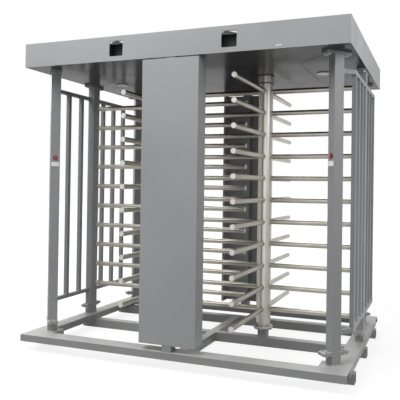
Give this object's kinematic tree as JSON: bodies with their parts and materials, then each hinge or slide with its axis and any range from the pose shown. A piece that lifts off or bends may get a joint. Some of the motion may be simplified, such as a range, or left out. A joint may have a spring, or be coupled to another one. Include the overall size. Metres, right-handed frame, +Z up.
{
  "type": "full height turnstile",
  "caption": "Full height turnstile with a roof, winged rotors side by side, centre covers, side fences and a tubular base.",
  "frame": {"origin": "on the floor under the middle of the turnstile", "axes": "+X to the right along the front, +Y from the front to the back, +Z up"},
  "size_m": [2.51, 1.63, 2.33],
  "materials": {
    "painted_frame": "satin powder coat",
    "painted_base": "satin powder coat",
    "painted_sheet": "satin powder coat",
    "stainless_column": "brushed",
    "stainless_arm": "brushed",
    "stainless_bearing": "turned",
    "zinc_fastener": "zinc plated",
    "machined_steel": "machined",
    "arm_cap": "moulded",
    "black_housing": "moulded",
    "lamp_lens": "frosted",
    "red_button": "moulded"
  },
  "bodies": {
    "frame": {"front_sill": "painted_frame", "rear_sill": "painted_frame", "side_sills": "painted_frame", "outer_cross_tubes": "painted_base", "middle_cross_tube": "painted_base", "centre_spine": "painted_base", "sill_gussets": "painted_frame", "post_stubs": "painted_frame", "front_left_post": "painted_frame", "front_right_post": "painted_frame", "rear_posts": "painted_frame", "middle_posts": "painted_frame", "centre_posts": "painted_frame", "head_plates": "painted_base", "post_bolts": "zinc_fastener", "left_front_fence": "painted_frame", "left_rear_fence": "painted_frame", "right_front_fence": "painted_frame", "right_rear_fence": "painted_frame", "front_cover": "painted_sheet", "rear_cover": "painted_sheet", "perimeter_beams": "painted_base", "rotor_beams": "painted_base", "front_fascia": "painted_sheet", "rear_fascia": "painted_sheet", "side_fascias": "painted_sheet", "roof_sheet": "painted_sheet", "outer_soffits": "painted_sheet", "centre_soffit": "painted_sheet", "ceiling_lamps": "lamp_lens", "window_boxes": "black_housing", "bearing_plates": "zinc_fastener", "top_bearings": "painted_base", "bearing_rings": "machined_steel", "dampers": "black_housing", "lock_solenoids": "black_housing", "rotor_foot_posts": "painted_base", "bottom_bearings": "stainless_bearing", "bearing_bolts": "zinc_fastener", "top_collars": "stainless_bearing", "button_bezels": "black_housing", "button_switches": "black_housing"},
    "left_rotor": {"left_column": "stainless_column", "left_spindles": "machined_steel", "left_arms_set": "stainless_arm", "left_arm_caps": "arm_cap", "left_index_plate": "zinc_fastener", "left_drive_gear": "machined_steel"},
    "right_rotor": {"right_column": "stainless_column", "right_spindles": "machined_steel", "right_arms_set": "stainless_arm", "right_arm_caps": "arm_cap", "right_index_plate": "zinc_fastener", "right_drive_gear": "machined_steel"},
    "left_damper_pinion": {"left_pinion": "machined_steel"},
    "right_damper_pinion": {"right_pinion": "machined_steel"},
    "left_lock_pawl": {"left_pawl": "zinc_fastener"},
    "right_lock_pawl": {"right_pawl": "zinc_fastener"},
    "left_push_button": {"left_button": "red_button"},
    "right_push_button": {"right_button": "red_button"}
  },
  "joints": [
    {"name": "left_rotor_turn", "type": "hinge", "parent": "frame", "child": "left_rotor", "pos_m": [-0.435, 0, 0.2], "axis": [0, 0, 1], "continuous": true},
    {"name": "right_rotor_turn", "type": "hinge", "parent": "frame", "child": "right_rotor", "pos_m": [0.435, 0, 0.2], "axis": [0, 0, 1], "continuous": true},
    {"name": "left_pinion_turn", "type": "hinge", "parent": "frame", "child": "left_damper_pinion", "pos_m": [-0.3225, 0, 2.27], "axis": [0, 0, 1], "continuous": true},
    {"name": "right_pinion_turn", "type": "hinge", "parent": "frame", "child": "right_damper_pinion", "pos_m": [0.5475, 0, 2.27], "axis": [0, 0, 1], "continuous": true},
    {"name": "left_pawl_swing", "type": "hinge", "parent": "frame", "child": "left_lock_pawl", "pos_m": [-0.513, 0.075, 2.256], "axis": [0, 0, 1], "range_deg": [0, 7.5], "stiffness_Nm_per_rad": 0.5},
    {"name": "right_pawl_swing", "type": "hinge", "parent": "frame", "child": "right_lock_pawl", "pos_m": [0.357, 0.075, 2.256], "axis": [0, 0, 1], "range_deg": [0, 7.5], "stiffness_Nm_per_rad": 0.5},
    {"name": "left_button_press", "type": "slide", "parent": "frame", "child": "left_push_button", "axis": [-0.7071, 0.7071, 0], "range_m": [0, 0.004], "stiffness_N_per_m": 500},
    {"name": "right_button_press", "type": "slide", "parent": "frame", "child": "right_push_button", "axis": [0.7071, 0.7071, 0], "range_m": [0, 0.004], "stiffness_N_per_m": 500}
  ],
  "couplings": [
    {"joint": "left_pinion_turn", "follows": "left_rotor_turn", "ratio": -4},
    {"joint": "right_pinion_turn", "follows": "right_rotor_turn", "ratio": -4}
  ]
}
